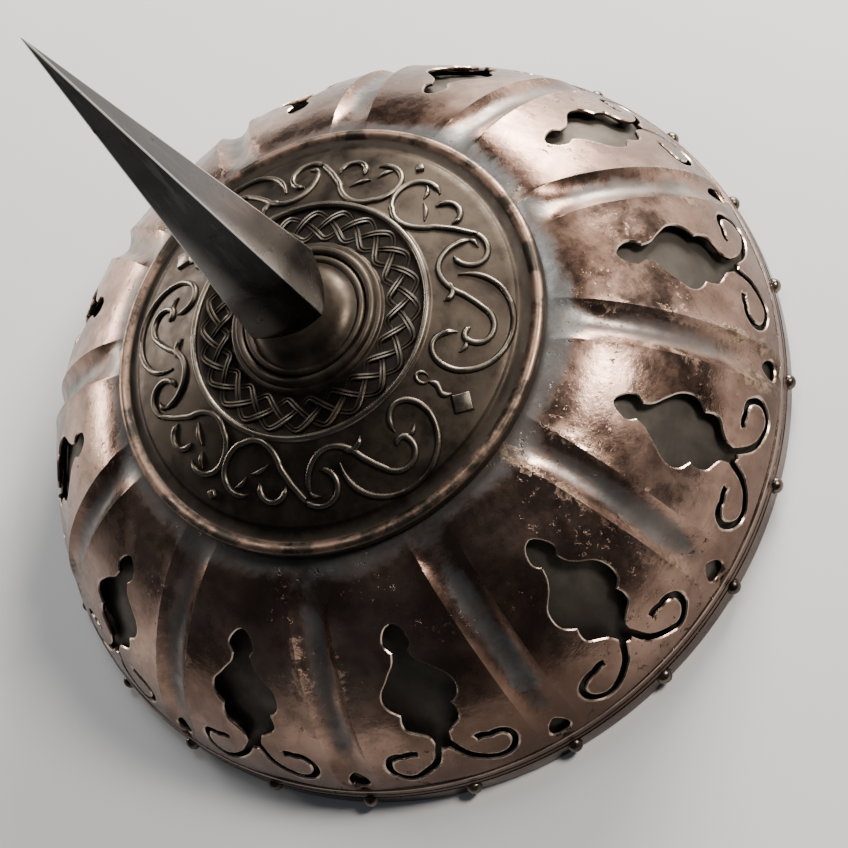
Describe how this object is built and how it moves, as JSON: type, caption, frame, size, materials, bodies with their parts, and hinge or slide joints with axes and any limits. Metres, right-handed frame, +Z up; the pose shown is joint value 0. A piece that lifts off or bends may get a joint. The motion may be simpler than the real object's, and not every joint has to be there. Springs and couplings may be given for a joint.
{
  "type": "buckler shield",
  "caption": "Small round fluted shield with leaf-shaped piercings over an iron lining, a boss plate in relief, a square spike and a strap grip behind.",
  "frame": {"origin": "middle of the rim's underside, on the surface that the shield lies on", "axes": "+Z up through the boss and the spike, +X along the grip, +Y across it"},
  "size_m": [0.3052, 0.3052, 0.2693],
  "materials": {
    "copper_bronze": "worn satin, patinated",
    "lining_iron": "dull, blackened",
    "boss_bronze": "dark satin, worn on the relief",
    "spike_steel": "dark polish",
    "strap_iron": "blackened",
    "grip_leather": "worn, waxed",
    "rivet_iron": "burnished"
  },
  "bodies": {
    "root": {"shell": "copper_bronze", "lining": "lining_iron", "boss_plate": "boss_bronze", "spike": "spike_steel", "grip_strap": "strap_iron", "grip_handle": "grip_leather", "rim_rivet_01": "rivet_iron", "rim_rivet_02": "rivet_iron", "rim_rivet_03": "rivet_iron", "rim_rivet_04": "rivet_iron", "rim_rivet_05": "rivet_iron", "rim_rivet_06": "rivet_iron", "rim_rivet_07": "rivet_iron", "rim_rivet_08": "rivet_iron", "rim_rivet_09": "rivet_iron", "rim_rivet_10": "rivet_iron", "rim_rivet_11": "rivet_iron", "rim_rivet_12": "rivet_iron", "rim_rivet_13": "rivet_iron", "rim_rivet_14": "rivet_iron", "rim_rivet_15": "rivet_iron", "rim_rivet_16": "rivet_iron", "rim_rivet_17": "rivet_iron", "rim_rivet_18": "rivet_iron", "rim_rivet_19": "rivet_iron", "rim_rivet_20": "rivet_iron", "rim_rivet_21": "rivet_iron", "rim_rivet_22": "rivet_iron", "rim_rivet_23": "rivet_iron", "rim_rivet_24": "rivet_iron", "grip_rivet_1": "rivet_iron", "grip_rivet_2": "rivet_iron", "grip_rivet_3": "rivet_iron", "grip_rivet_4": "rivet_iron"}
  },
  "joints": []
}
